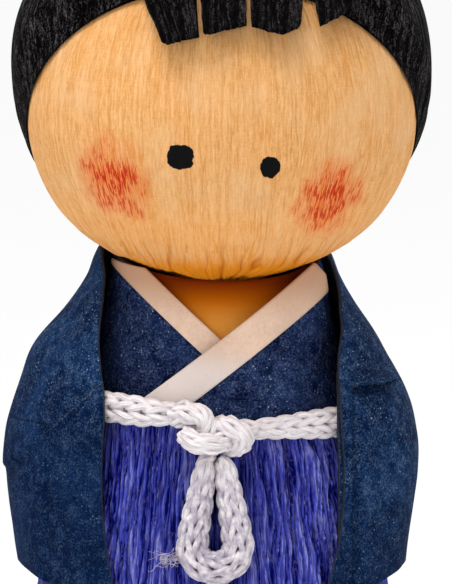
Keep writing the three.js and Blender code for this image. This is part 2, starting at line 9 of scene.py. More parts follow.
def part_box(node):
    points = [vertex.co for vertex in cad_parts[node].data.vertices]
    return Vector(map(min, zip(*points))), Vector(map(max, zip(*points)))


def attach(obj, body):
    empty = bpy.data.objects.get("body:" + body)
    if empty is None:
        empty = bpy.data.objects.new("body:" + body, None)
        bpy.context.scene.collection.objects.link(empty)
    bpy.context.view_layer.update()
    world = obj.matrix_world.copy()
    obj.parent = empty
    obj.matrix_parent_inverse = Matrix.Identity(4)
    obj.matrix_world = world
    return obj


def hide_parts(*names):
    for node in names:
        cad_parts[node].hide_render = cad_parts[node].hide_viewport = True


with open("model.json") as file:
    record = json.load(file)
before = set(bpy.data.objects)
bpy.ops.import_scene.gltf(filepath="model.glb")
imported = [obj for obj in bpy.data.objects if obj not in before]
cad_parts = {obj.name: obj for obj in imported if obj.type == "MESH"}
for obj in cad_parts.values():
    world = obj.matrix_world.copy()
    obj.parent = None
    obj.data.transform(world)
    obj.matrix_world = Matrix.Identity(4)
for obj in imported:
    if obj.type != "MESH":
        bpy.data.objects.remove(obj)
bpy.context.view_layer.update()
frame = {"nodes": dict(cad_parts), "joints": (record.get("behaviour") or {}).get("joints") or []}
scene = bpy.context.scene
mm = 0.001  # shapes are worked out in millimetres and scaled once at the end
pivots = {joint["name"]: Vector(joint["pos_m"]) / mm for joint in frame["joints"]}


# Shader writing

def inSums(operation):  # what a socket does in one kind of sum
    return lambda self, other=0: self.shader.sum(operation, self, other)


class Socket:  # an output of a shader's node that takes part in sums
    __add__ = __radd__ = inSums("ADD")
    __sub__ = inSums("SUBTRACT")
    __mul__ = inSums("MULTIPLY")
    __truediv__ = inSums("DIVIDE")
    __abs__ = inSums("ABSOLUTE")

    def __init__(self, shader, out):
        self.shader = shader
        self.out = out

    def __rsub__(self, other):
        return self.shader.sum("SUBTRACT", other, self)

    def __neg__(self):
        return self * -1

    def other(self, name):  # another output of the same node
        return Socket(self.shader, self.out.node.outputs[name])


class Shader:
    def __init__(self, owner):  # a new material, or the world
        owner.use_nodes = True
        self.owner = owner
        self.tree = owner.node_tree
        self.tree.nodes.clear()

    def node(self, kind, inputs={}, settings={}, output=0):
        made = self.tree.nodes.new("ShaderNode" + kind)
        for key, value in settings.items():
            setattr(made, key, value)
        for key, value in inputs.items():
            if isinstance(value, Socket):
                self.tree.links.new(value.out, made.inputs[key])
            else:
                made.inputs[key].default_value = value
        return Socket(self, made.outputs[output]) if made.outputs else None

    def sum(self, operation, a, b):
        return self.node("Math", {0: a, 1: b}, {"operation": operation})

    def step(self, value, low, high):  # smooth from 0 at low to 1 at high
        return self.node("MapRange", {"Value": value, "From Min": low, "From Max": high},
                         {"interpolation_type": "SMOOTHSTEP"})

    def mix(self, share, a, b):
        return self.node("Mix", {0: share, 6: a, 7: b}, {"data_type": "RGBA"}, 2)

    def paint(self, share, over):  # a colour laid over what is there
        self.colour = self.mix(share, self.colour, over)

    def place(self, stretch=1, centre=(0, 0, 0)):  # the piece's own place, in millimetres
        if not isinstance(stretch, tuple):
            stretch = (stretch, stretch, stretch)
        raw = self.node("TexCoord", output="Object")
        scale = tuple(s / mm for s in stretch)
        offset = tuple(-c * s for c, s in zip(centre, stretch))
        return self.node("Mapping", {"Vector": raw, "Location": offset, "Scale": scale})

    def along(self, across, lengthwise):  # the sheet's or yarn's own map, in millimetres
        raw = self.node("UVMap", {}, {"uv_map": "weave"})
        return self.node("Mapping", {"Vector": raw, "Scale": (across, lengthwise, 1)})

    def folds(self):  # the relief that a sheet's vertices carry, which finishes use for painted shade and highlight
        return self.node("Attribute", {}, {"attribute_name": "relief"}, "Fac")

    def axes(self, vector):
        x = self.node("SeparateXYZ", {0: vector})
        return x, x.other("Y"), x.other("Z")

    def noise(self, vector, detail=2, rough=0.5, distort=0):
        return self.node("TexNoise", {"Vector": vector, "Scale": 1, "Detail": detail,
                                      "Roughness": rough, "Distortion": distort})

    def lines(self, vector, width, distort):  # thin lines where a noise crosses its middle
        return 1 - self.step(abs(self.noise(vector, 2, 0.5, distort) - 0.5), 0, width)

    def finish(self, roughness, height, depth, strength=1, specular=0.5):  # depth in mm
        bump = self.node("Bump", {"Height": height, "Strength": strength, "Distance": depth * mm})
        surface = self.node("BsdfPrincipled", {"Base Color": self.colour, "Roughness": roughness,
                                               "Normal": bump, "Specular IOR Level": specular})
        self.node("OutputMaterial", {"Surface": surface})
        return self.owner


def newShader(name):
    return Shader(bpy.data.materials.new(name))


def srgb(red, green, blue):
    shares = [c / 255 for c in (red, green, blue)]
    return (*[((c + 0.055) / 1.055) ** 2.4 if c > 0.04 else c / 12.92 for c in shares], 1)


# Mesh helpers

def toScene(name, data):
    made = bpy.data.objects.new(name, data)
    scene.collection.objects.link(made)
    return made


def toPiece(bm, name, material, body, node=None):  # bm is in millimetres
    bmesh.ops.scale(bm, vec=(mm, mm, mm), verts=bm.verts)
    mesh = bpy.data.meshes.new(name)
    bm.to_mesh(mesh)
    bm.free()
    mesh.polygons.foreach_set("use_smooth", [True] * len(mesh.polygons))
    mesh.materials.append(material)
    piece = toScene(name, mesh)
    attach(piece, body)
    if node:
        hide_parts(node)
    return piece


def thicken(piece, thickness, edgeMaterial=None, shadeLining=None):
    wall = piece.modifiers.new("thickness", "SOLIDIFY")
    wall.thickness = thickness * mm
    wall.offset = -1
    if edgeMaterial:
        piece.data.materials.append(edgeMaterial)
        wall.material_offset_rim = 1
    # the lining is painted shade: a near-black inner side
    if shadeLining:
        piece.data.materials.append(shadeLining)
        wall.material_offset = 2


# A sheet of columns: place(s) gives a column as a function of t, with s and t from 0 to 1. A point
# has the relief of the paper as a fourth value where the finish reads it.
def gridSheet(columns, rows, place, size=(1, 1), bm=None):
    if bm is None:
        bm = bmesh.new()
        bm.loops.layers.uv.new("weave")
        bm.verts.layers.float.new("relief")
    weave = bm.loops.layers.uv["weave"]
    relief = bm.verts.layers.float["relief"]
    verts = bmesh.ops.create_grid(bm, x_segments=columns, y_segments=rows, size=0.5)["verts"]
    placed = {}
    shares = {}
    for vert in verts:
        s = round(vert.co.x + 0.5, 6)
        t = vert.co.y + 0.5
        if s not in placed:
            placed[s] = place(s)
        shares[vert] = (s * size[0], t * size[1])
        point = placed[s](t)
        vert.co = point[:3]
        vert[relief] = point[3] if len(point) > 3 else 0.5
    for vert in verts:
        for corner in vert.link_loops:
            corner[weave].uv = shares[vert]
    return bm


# A sheet closed round the Z axis: place takes the turn from the front, and the map's seam is at the
# start. Columns are closer opposite the seam where even is below 1.
def ringSheet(steps, rows, size, place, start=-pi, even=1):
    def spread(s):
        u = 2 * s - 1
        return place(start + pi * (1 + even * u + (1 - even) * u ** 3))
    bm = gridSheet(steps, rows, spread, size)
    bmesh.ops.remove_doubles(bm, verts=[v for v in bm.verts if v.is_boundary], dist=1e-4)
    bmesh.ops.recalc_face_normals(bm, faces=bm.faces)
    return bm


def faceOut(bm, axis=(0, 0)):  # an open sheet round the body has its faces away from the axis
    bm.normal_update()
    outwards = sum((f.calc_center_median().xy - Vector(axis)).dot(f.normal.xy) for f in bm.faces)
    if outwards < 0:
        bmesh.ops.reverse_faces(bm, faces=bm.faces)
    bm.normal_update()


# A sheet of the clothes, as a piece; paper is as thicken takes it
def paperPiece(bm, name, material, slot, node, *paper):
    faceOut(bm)
    piece = toPiece(bm, name, material, "body", node)
    thicken(piece, *paper)
    return piece


def smoothThrough(stations):  # a smooth value along a line, through (place, value) stations
    last = len(stations) - 1
    slopes = []
    for i in range(last + 1):
        (z0, v0), (z1, v1) = stations[max(i - 1, 0)], stations[min(i + 1, last)]
        slopes.append((v1 - v0) / (z1 - z0))

    def value(z):
        z = clampTo(z, stations[0][0], stations[last][0])
        i = next(k for k in range(last) if stations[k + 1][0] >= z)
        (z0, v0), (z1, v1) = stations[i], stations[i + 1]
        t = (z - z0) / (z1 - z0)
        rise = between(v0, v1, t * t * (3 - 2 * t))
        return rise + (z1 - z0) * t * (1 - t) * ((1 - t) * slopes[i] - t * slopes[i + 1])
    return value


def clampTo(value, low, high):
    return min(max(value, low), high)


def between(low, high, share):
    return low + (high - low) * share


def smoothStep(low, high, value):
    t = clampTo((value - low) / (high - low), 0, 1)
    return t * t * (3 - 2 * t)


def hump(value, width):  # 1 at 0, falling off on both sides
    return exp(-(value / width) ** 2)


def wander(x, y=0, z=0):  # smooth noise from about -1 to 1
    return noise.noise(Vector((x, y, z)))


def roundTurn(turn, scale, z):  # smooth noise round the axis, without a seam
    return wander(sin(turn) * scale, cos(turn) * scale, z)


def around(turn, wide, deep, z):  # a point on an oval round the Z axis, with turn 0 at the front
    return Vector((wide * sin(turn), -deep * cos(turn), z))


def turnTo(x, wide, most=1):  # the turn where the front of an oval reaches x
    return asin(clampTo(x / wide, -most, most))


# Body sections, as the solids have them

tube = {
    "wide": smoothThrough([(0, 16.4), (23, 16.4), (35.4, 14.7), (56, 10.8)]),
    "front": smoothThrough([(0, 13.5), (23, 13.5), (35.4, 12.1), (56, 10)]),
}
beltHeight = 35.4
neckHeight = 56
hakamaTop = beltHeight + 1.1
kimonoLow = hakamaTop - 4
washiPaper = 0.35

skinLow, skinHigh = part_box("face_skin")
ball = {"wide": (skinHigh.x - skinLow.x) / 2 / mm, "tall": 22.25}
ball["centre"] = Vector((*pivots["head_turn"].xy, skinHigh.z / mm - ball["tall"]))


def ballUnderside(x, y, gap):  # height of the ball's lower surface over a point, less a gap
    out = ((x - ball["centre"].x) ** 2 + (y - ball["centre"].y) ** 2) / (ball["wide"] + gap) ** 2
    return ball["centre"].z - (ball["tall"] + gap) * sqrt(max(1 - out, 0))


def roundTube(turn, z, off):  # a point of a layer round the body
    return around(turn, tube["wide"](z) + off, tube["front"](z) + off, z)


def awayFromAxis(point):
    return Vector((point.x, point.y, 0)).normalized()


# Papers

def crepeSkin():
    look = {"ridge": srgb(243, 187, 126), "valley": srgb(217, 152, 84), "orange": srgb(226, 148, 64),
            "low": srgb(238, 146, 24), "ink": srgb(8, 7, 9), "crayon": srgb(233, 106, 38),
            "stroke": srgb(194, 38, 6), "bare": srgb(238, 194, 146), "crease": srgb(196, 104, 14)}
    # across, up, half width, half height and how square
    eyes = ((-5.08, -5.1, 1.62, 1.54, 0.55), (5.95, -6.45, 1.2, 1.3, 0.2))
    cheeks = ((-13.2, -8.2, 4.6, 5.6, 0.6), (13.1, -10.6, 4.6, 5.2, -0.5))  # and their lean
    s = newShader("skinCrepe")
    x, y, z = s.axes(s.place(centre=ball["centre"]))
    low = s.step(-z, 9, 21)
    fine = s.noise(s.along(4.4, 0.5), 3, 0.65, 0.25)
    cross = s.noise(s.along(0.7, 4.5), 2, 0.5, 0.6)  # short fibres across the ridges
    fuzz = s.noise(s.place(5))
    broad = s.noise(s.along(0.8, 0.07), 2, 0.5, 0.7)
    ridges = s.noise(s.along(2.3, 0.06), 2, 0.5, 0.25)
    few = s.step(s.noise(s.along(0.3, 0.12), 1), 0.48, 0.62)
    thread = s.lines(s.along(0.55, 0.06), 0.02, 0.2) * few  # the sharpest creases, here and there
    cloud = s.noise(s.place(0.11))
    relief = fine * 0.46 + ridges * 0.3 + cross * 0.1 + fuzz * 0.14 + broad * low * 0.25 - thread * 0.1
    s.colour = s.mix(s.step(relief, 0.37, 0.62), look["valley"], look["ridge"])
    streak = s.step(s.noise(s.along(1.7, 0.05), 2, 0.6, 0.4), 0.52, 0.7)
    s.paint(streak * (0.3 + low * 0.35) + thread * (0.25 + low * 0.3), look["orange"])
    s.paint(s.step(cloud, 0.46, 0.7) * 0.4, look["bare"])
    tinted = low * (0.8 - s.step(relief, 0.4, 0.7) * 0.6) + s.step(-z, 17.4, 20.8) * 0.8
    s.paint(tinted, look["low"])
    s.paint(s.folds() * (0.45 + fine * 0.8), look["crease"])  # painted shade: a darker orange laid deep in the gathers
    onFace = s.step(-y, 0, 1)
    ragged = (s.noise(s.place(0.9), 4, 0.6) - 0.5) * 1.7
    for across, up, wide, tall, square in eyes:
        dx, dz = (x - across) / wide, (z - up) / tall
        out = dx * dx * (1 - square + dx * dx * square) + dz * dz * (1 - square + dz * dz * square)
        s.paint((1 - s.step(out + ragged, 0.9, 1.1)) * onFace, look["ink"])
    strokes = s.noise(s.along(4.4, 0.55), 2, 0.6, 0.5)
    patch = (s.noise(s.place(0.4), 3) - 0.5) * 1.5
    for across, up, wide, tall, lean in cheeks:
        dx, dz = (x - across) / wide, (z - up) / tall
        near = (1 - s.step(dx * dx + dz * dz + dx * dz * lean + patch, -0.2, 1.3)) * onFace
        s.paint(near * (0.3 + fine * 0.75), look["crayon"])
        s.paint(s.step(strokes + near * 0.19, 0.6, 0.74) * near, look["stroke"])
    return s.finish(0.85, relief, 0.6, 0.8, 0.12)


def crepeHair(name, strand):
    s = newShader(name)
    fine = s.noise(s.along(4.2, 0.9), 4, 0.65, 0.6)
    ridges = s.noise(s.along(1.6, 0.16), 2, 0.5, 0.6)
    grit = s.noise(s.place(5), 3, 0.6)
    tone = fine * 0.5 + ridges * 0.35 + grit * 0.35
    # the pale strands are partly the crepe's grey fibres and partly painted glints that stand in for its
    # sheen
    s.colour = s.mix(s.step(tone, 0.58, 0.82), srgb(2, 1, 2), strand)
    return s.finish(0.8, tone, 0.9, 1, 0.03)


def washi(name, base, light, deep, flecks, creased=False):
    s = newShader(name)
    cloud = s.noise(s.place(0.13), 3, 0.55, 0.4)
    mottle = s.noise(s.place(0.7), 4, 0.62, 0.3)
    crinkle = s.noise(s.place(1.6), 2, 0.5, 0.8)
    grain = s.noise(s.place(4.2), 3, 0.6)
    s.colour = s.mix(s.step(cloud * 0.5 + mottle * 0.2 + crinkle * 0.3, 0.39, 0.61), deep, base)
    s.paint(s.step(mottle * 0.35 + grain * 0.65, 0.46, 0.7) * 0.7, light)
    clump = 0.25 + s.step(s.noise(s.place(0.2, (4, 1, 6))), 0.44, 0.62) * 0.75
    for scale, least, size in ((0.62, 0.5, 0.1), (1.5, 0.6, 0.18), (3, 0.7, 0.3)):  # pale specks
        spot = s.node("TexVoronoi", {"Vector": s.place(scale), "Scale": 1})
        chosen = s.step(spot.other("Color"), least, least + 0.08) * clump
        speck = (1 - s.step(spot, size * 0.45, size)) * chosen * flecks
        s.paint(speck, srgb(172, 194, 210))
    fibre = s.lines(s.place(0.3, (3, 7, 1)), 0.005, 0)
    rare = s.step(s.noise(s.place(0.3, (9, 2, 5)), 1), 0.56, 0.64)
    s.paint(fibre * rare * 0.3 * flecks, srgb(110, 138, 164))
    relief = mottle + crinkle * 0.6 + grain * 0.25 + cloud * 0.6
    if creased:
        x, y, z = s.axes(s.place())
        lowerLeftDarker = 1 - s.step(z + x * 0.4 + cloud * 8, 22, 44)  # deeper to the lower left
        s.paint(lowerLeftDarker * 0.5, deep)
        worn = creaseLine(s, x, y, z, mottle)
        s.paint(worn * s.step(grain, 0.3, 0.7) * 0.55, srgb(120, 138, 158))
        relief = relief + worn * 0.3
    return s.finish(0.8, relief, 0.8, 0.9, 0.03)


# The fold line across the left front of the haori: where it starts at the front edge, and its slope.
crease = {"across": -13.2, "height": 40.4, "slope": 0.95, "end": -24.5}


def creaseLine(s, x, y, z, wobble):
    start = crease["across"]
    above = z - crease["height"] - (x - start) * crease["slope"] + (wobble - 0.5) * 0.9
    run = s.step(x, crease["end"], start) * (1 - s.step(x, start, start + 0.6))
    return (1 - s.step(abs(above), 0.05, 0.22)) * run * s.step(-y, 0, 2)


def cutEdge(name, base, pale):
    s = newShader(name)
    grain = s.noise(s.place((3, 3, 1.2)), 3, 0.6)
    s.colour = s.mix(s.step(grain, 0.35, 0.65), base, pale)
    return s.finish(0.85, grain, 0.08)


def fibrous(s, shade, base, stretch=(1.4, 1.4, 3.5)):
    fibre = s.noise(s.place(stretch), 4, 0.7, 0.6)
    s.colour = s.mix(s.step(s.noise(s.place(0.25), 3) * 0.5 + fibre * 0.5, 0.38, 0.64), shade, base)
    return fibre


def plainPaper(name, base, shade):
    s = newShader(name)
    fibre = fibrous(s, shade, base)
    return s.finish(0.8, fibre, 0.05, 0.7, 0.2)


def collarWashi():
    look = {"base": srgb(240, 209, 187), "shade": srgb(221, 191, 170), "worn": srgb(226, 217, 214),
            "neck": srgb(196, 157, 128), "fibre": srgb(168, 146, 132)}
    s = newShader("collarPaper")
    z = s.axes(s.place())[2]
    cloud = s.noise(s.place(0.25), 3)
    fibre = fibrous(s, look["shade"], look["base"], 2.2)
    s.paint(s.step(z, 46.5, 53), look["neck"])  # painted shade: darker towards the neck, under the head
    rubbed = 1 - s.step(z + cloud * 3, 42, 46)  # grey lower down
    s.paint(rubbed * 0.8, look["worn"])
    s.paint(s.step(fibre, 0.58, 0.75) * 0.3, look["fibre"])
    return s.finish(0.85, fibre, 0.08, 0.8, 0.15)


def chestTissue():
    look = {"base": srgb(255, 184, 86), "shade": srgb(250, 172, 72), "mid": srgb(188, 101, 2),
            "deep": srgb(119, 42, 0)}
    s = newShader("chestPaper")
    z = s.axes(s.place())[2]
    fibre = fibrous(s, look["shade"], look["base"])
    s.paint(s.step(z, 44.6, 50.4), look["mid"])  # painted shade: deeper and darker towards the neck, under the chin
    s.paint(s.step(z, 48.6, 52.4), look["deep"])
    return s.finish(0.8, fibre, 0.05, 0.7, 0.04)


def crepeHakama():
    look = {"deep": srgb(2, 9, 112), "mid": srgb(80, 87, 206), "pale": srgb(158, 162, 245),
            "worn": srgb(120, 114, 156)}
    s = newShader("hakamaCrepe")
    fine = s.noise(s.along(6.6, 0.3), 4, 0.65, 0.6)
    kinks = s.noise(s.along(1.6, 0.8), 2, 0.5, 0.4)
    # the sheet's relief paints the furrows deep and the ridge tops pale, as painted shade and highlight
    # over the crepe's own uneven tone
    tone = s.folds() * 0.36 + fine * 0.66 + kinks * 0.12
    s.colour = s.mix(s.step(tone, 0.41, 0.6), look["deep"], look["mid"])
    s.paint(s.step(tone, 0.6, 0.74) * 0.85, look["pale"])
    faded = s.lines(s.along(0.9, 0.16), 0.025, 0.9)  # where it was creased
    s.paint(faded * 0.45, look["worn"])
    return s.finish(0.65, fine + kinks * 0.3, 0.9, 1, 0.06)


def cordYarn():
    look = {"shade": srgb(217, 207, 213), "light": srgb(252, 247, 248), "grey": srgb(164, 154, 176)}
    s = newShader("cordYarn")
    strands = s.noise(s.along(6, 0.3), 3, 0.6, 0.3)  # filaments along the yarn
    shade = s.noise(s.place(0.9))
    z = s.axes(s.place())[2]
    s.colour = s.mix(s.step(shade * 0.3 + strands * 0.7, 0.36, 0.62), look["shade"], look["light"])
    loopShade = (1 - s.step(z, 26, 32)) * (1 - s.step(shade, 0.35, 0.65) * 0.8)  # painted shade: the hanging loop greyer and lavender, below the knot
    s.paint(loopShade * 0.75, look["grey"])
    return s.finish(0.45, strands, 0.2, 1, 0.35)


def roughWood():
    s = newShader("pegBamboo")
    grain = s.noise(s.place((3, 3, 0.2)), 3, 0.6, 0.3)
    s.colour = s.mix(grain, srgb(176, 138, 84), srgb(214, 184, 128))
    return s.finish(0.6, grain, 0.05)


skinCrepe = crepeSkin()
# the strand colours hold painted glints as well as grey fibres
hairCrepe = crepeHair("hairCrepe", srgb(106, 100, 102))
fringeCrepe = crepeHair("fringeCrepe", srgb(87, 81, 84))
kimonoWashi = washi("kimonoWashi", srgb(32, 52, 98), srgb(104, 120, 158), srgb(4, 15, 52), 0.9)
haoriWashi = washi("haoriWashi", srgb(17, 49, 92), srgb(92, 118, 153), srgb(2, 22, 56), 0.7, True)
haoriEdge = cutEdge("haoriEdge", srgb(8, 14, 28), srgb(34, 44, 64))
# painted shade: a near-black lining on the haori's inner side, which darkens the gap inside its opening
haoriShadeInside = cutEdge("haoriShadeInside", srgb(8, 10, 18), srgb(18, 24, 38))
kimonoEdge = cutEdge("kimonoEdge", srgb(34, 42, 66), srgb(80, 88, 108))
collarPaper = collarWashi()
chestPaper = chestTissue()
hakamaCrepe = crepeHakama()
knitYarn = cordYarn()
cardBoard = plainPaper("cardBoard", srgb(188, 164, 128), srgb(160, 136, 100))
cottonWad = plainPaper("cottonWad", srgb(238, 234, 226), srgb(222, 216, 206))
pegBamboo = roughWood()
print("materials made")


# Camera, floor and light

view = {"elevation": 5, "distance": 1000, "across": 56.5, "aim": (1.75, -10, 50.8)}
studio = {"sky": 0.66, "floorGlow": 0.88, "lamps": {  # place, width and height, watts
    "keyLamp": ((-150, -250, 760), (560, 220), 3.5),
    "fillLamp": ((-200, -760, 20), (400, 400), 1.5),
    "rimLamp": ((340, 420, 380), (300, 300), 0.8),
}}


def makeCamera():
    lens = bpy.data.cameras.new("camera")
    lens.sensor_fit = "HORIZONTAL"
    lens.lens = lens.sensor_width * view["distance"] / view["across"]
    lens.clip_end = 10
    camera = toScene("camera", lens)
    tilt = radians(view["elevation"])
    away = Vector((0, -cos(tilt), sin(tilt)))
    camera.location = (Vector(view["aim"]) + away * view["distance"]) * mm
    camera.rotation_euler = (pi / 2 - tilt, 0, 0)
    scene.camera = camera


def seenDirectly(s):  # 1 to the camera and in reflections, 0 for the light that falls on the doll
    camera = s.node("LightPath", output="Is Camera Ray")
    glossy = s.sum("MAXIMUM", camera, camera.other("Is Glossy Ray"))
    return s.sum("MAXIMUM", glossy, camera.other("Is Transmission Ray"))


def makeFloor():
    bm = bmesh.new()
    bmesh.ops.create_grid(bm, x_segments=8, y_segments=8, size=3)
    bmesh.ops.translate(bm, vec=(0, 0, -0.05 * mm), verts=bm.verts)
    mesh = bpy.data.meshes.new("floor")
    bm.to_mesh(mesh)
    bm.free()
    s = newShader("floorPaper")
    paper = s.mix(s.noise(s.place(0.02)), srgb(244, 244, 243), srgb(248, 248, 247))
    lit = s.node("BsdfDiffuse", {"Color": paper})
    glow = s.node("Emission", {"Color": (1, 1, 1, 1), "Strength": 1})
    both = s.node("MixShader", {0: seenDirectly(s) * studio["floorGlow"], 1: lit, 2: glow})
    s.node("OutputMaterial", {"Surface": both})
    mesh.materials.append(s.owner)
    toScene("floor", mesh)


def makeLight():
    world = bpy.data.worlds.new("studio")
    scene.world = world
    s = Shader(world)
    strength = seenDirectly(s) * (1 - studio["sky"]) + studio["sky"]
    sky = s.node("Background", {"Color": (1, 1, 1, 1), "Strength": strength})
    s.node("OutputWorld", {"Surface": sky})
    for name, (place, (wide, tall), power) in studio["lamps"].items():
        lamp = bpy.data.lights.new(name, "AREA")
        lamp.shape = "RECTANGLE"
        lamp.size = wide * mm
        lamp.size_y = tall * mm
        lamp.energy = power
        holder = toScene(name, lamp)
        holder.location = Vector(place) * mm
        aim = Vector(view["aim"]) * mm - holder.location
        holder.rotation_euler = aim.to_track_quat("-Z", "Y").to_euler()


makeCamera()
makeFloor()
makeLight()
scene.view_settings.view_transform = "Standard"
print("camera, floor and light made")


# Knitted cord: one yarn that spirals round the cord in jersey stitches

knit = {"course": 2.3, "yarn": 0.43, "rise": 1.85, "swing": 0.24, "lift": 0.34, "samples": 20}


def curveThrough(points, per):  # a smooth dense line through given points
    dense = []
    count = len(points) - 1
    for i in range(count):
        p0, p1, p2, p3 = (points[clampTo(i + k, 0, count)] for k in (-1, 0, 1, 2))
        for j in range(per):
            t = j / per
            dense.append(0.5 * (2 * p1 + (p2 - p0) * t + (2 * p0 - 5 * p1 + 4 * p2 - p3) * t * t
                                + (3 * p1 - p0 - 3 * p2 + p3) * t ** 3))
    dense.append(points[-1].copy())
    return dense


def evenly(line, step):  # points at an even step along a line, and its length
    lengths = [0.0]
    for a, b in zip(line, line[1:]):
        lengths.append(lengths[-1] + (b - a).length)
    count = max(int(lengths[-1] / step), 2)
    out = []
    k = 0
    for i in range(count + 1):
        want = lengths[-1] * i / count
        while k < len(lengths) - 2 and lengths[k + 1] < want:
            k += 1
        share = (want - lengths[k]) / max(lengths[k + 1] - lengths[k], 1e-9)
        out.append(line[k].lerp(line[k + 1], clampTo(share, 0, 1)))
    return out, lengths[-1]


def framesAlong(line, facing):  # out and side at each point; facing(point) gives the out side
    frames = []
    for i, point in enumerate(line):
        ahead = line[min(i + 1, len(line) - 1)] - line[max(i - 1, 0)]
        ahead.normalize()
        out = facing(point)
        out = (out - ahead * out.dot(ahead)).normalized()
        frames.append((out, ahead.cross(out)))
    return frames


def sweepCurve(routes, radius, sides):  # round strands along the routes, with a map along them
    curve = bpy.data.curves.new("strands", "CURVE")
    curve.dimensions = "3D"
    curve.bevel_depth = radius
    curve.bevel_resolution = sides
    curve.use_fill_caps = True
    for route in routes:
        spline = curve.splines.new("POLY")
        spline.points.add(len(route) - 1)
        spline.points.foreach_set("co", [c for p in route for c in (*p, 1.0)])
    holder = toScene("strands", curve)
    bpy.context.view_layer.update()
    mesh = bpy.data.meshes.new_from_object(holder.evaluated_get(bpy.context.evaluated_depsgraph_get()))
    mesh.uv_layers[0].name = "weave"
    bm = bmesh.new()
    bm.from_mesh(mesh)
    bpy.data.objects.remove(holder)
    bpy.data.curves.remove(curve)
    bpy.data.meshes.remove(mesh)
    weave = bm.loops.layers.uv["weave"]
    girth = 2 * pi * radius
    length = sum((b - a).length for a, b in zip(routes[0], routes[0][1:]))
    for face in bm.faces:
        for corner in face.loops:
            along, about = corner[weave].uv
            corner[weave].uv = (about * girth, along * length)
    return bm


def knitCord(name, line, facing, high, thick, wales, body, node):
    # high(share) and thick(share) are the cord's half sizes across and towards its out side
    spaced, length = evenly(line, 0.15)
    frames = framesAlong(spaced, facing)
    courses = max(round(length / knit["course"]), 2)
    pitch = length / courses
    route = []
    for i in range(courses * wales * knit["samples"] + 1):
        stitch = i / knit["samples"]
        t = 2 * pi * stitch
        turn = 2 * pi * (stitch + 0.5 + knit["swing"] * sin(2 * t)) / wales
        along = clampTo(stitch / wales * pitch + knit["rise"] * cos(t), 0, length)
        share = along / length
        at = share * (len(spaced) - 1)
        k = min(int(at), len(spaced) - 2)
        out, side = frames[k]
        # the stitches' legs lie over the loops' ends
        depth = -knit["lift"] * cos(2 * t) - knit["lift"] - knit["yarn"]
        across = max(high(share) + depth, 0.1) * sin(turn)
        proud = max(thick(share) + depth, 0.1) * cos(turn)
        route.append(spaced[k].lerp(spaced[k + 1], at - k) + side * across + out * proud)
    piece = toPiece(sweepCurve([route], knit["yarn"], 1), name, knitYarn, body, node)
    return piece, spaced, length


belt = {"high": 2.1, "thick": 1.3, "off": 5.4, "points": 72,
        "left": -4.6, "right": 5.2,  # ends at the knot
        "sag": [(-21, 1), (-13.4, 1.35), (-8, 0.9), (-4.2, 0.7), (5, -1), (11, -0.9), (16.7, -0.7),
                (21, -0.2)]}
beltWide = tube["wide"](beltHeight) + belt["off"]
beltDeep = tube["front"](beltHeight) + belt["off"]
beltSag = smoothThrough(belt["sag"])


def onBelt(turn):
    x = beltWide * sin(turn)
    y = -beltDeep * cos(turn)
    return Vector((x, y, beltHeight + beltSag(x) * smoothStep(-6, 6, -y)))


def makeBelt():
    first = turnTo(belt["left"], beltWide)
    last = turnTo(belt["right"], beltWide) - 2 * pi
    points = [onBelt(between(first, last, i / belt["points"])) for i in range(belt["points"] + 1)]

    def slim(share):  # pulled thin where it runs into the knot
        return 0.78 + 0.22 * smoothStep(0, 0.05, share) - 0.28 * smoothStep(0.9, 0.99, share)
    knitCord("beltCord", curveThrough(points, 6), lambda p: Vector((p.x / beltWide, p.y / beltDeep, 0)),
             lambda s: belt["high"] * slim(s), lambda s: belt["thick"] * slim(s), 4, "body", "belt_cord")


# The left end of the belt dives behind the knot, winds over its right side and comes round its front.
knot = {"half": 1.5, "middle": (0.8, -18.8, 33.8), "route": [
    (-4.6, -17, 36.1), (-3.2, -17.8, 36.4), (-1.8, -18.9, 36.3), (-0.7, -19.5, 35.6), (-0.4, -19.3, 34.6),
    (-0.8, -18.5, 33.7), (-0.2, -17.6, 33), (0.8, -17.4, 33.6), (1, -18.2, 34.7), (1.5, -19.4, 35),
    (2.6, -20.2, 34.8), (3.6, -20.5, 34.1), (3.9, -20.2, 33.1), (3.2, -19.4, 32.5), (2, -18.2, 32.4),
    (0.2, -17.5, 32.9), (-1.8, -17.8, 33.4), (-2.9, -18.9, 33.6), (-2.9, -20.1, 33.4), (-1.8, -20.9, 33),
    (-0.4, -21, 32.8), (0.8, -20.4, 32.9), (1.6, -19.3, 33.1), (2.4, -18.1, 33.7), (3.7, -17.3, 34.2),
    (5.4, -17, 34.4)]}


def makeKnot():
    points = [Vector(p) for p in knot["route"]]
    middle = Vector(knot["middle"])

    def half(share):
        return knot["half"] * (1 + 0.25 * smoothStep(0.12, 0, share))
    knitCord("bowKnot", curveThrough(points, 12), lambda p: p - middle, half, half, 4, "body",
             "bow_knot")


loop = {"wide": 5.6, "neck": 1.1, "long": 12.4, "lean": 1.2, "half": 2.2,
        "neckHalf": 1.25, "inKnot": 0.9, "neckLean": 0.2}


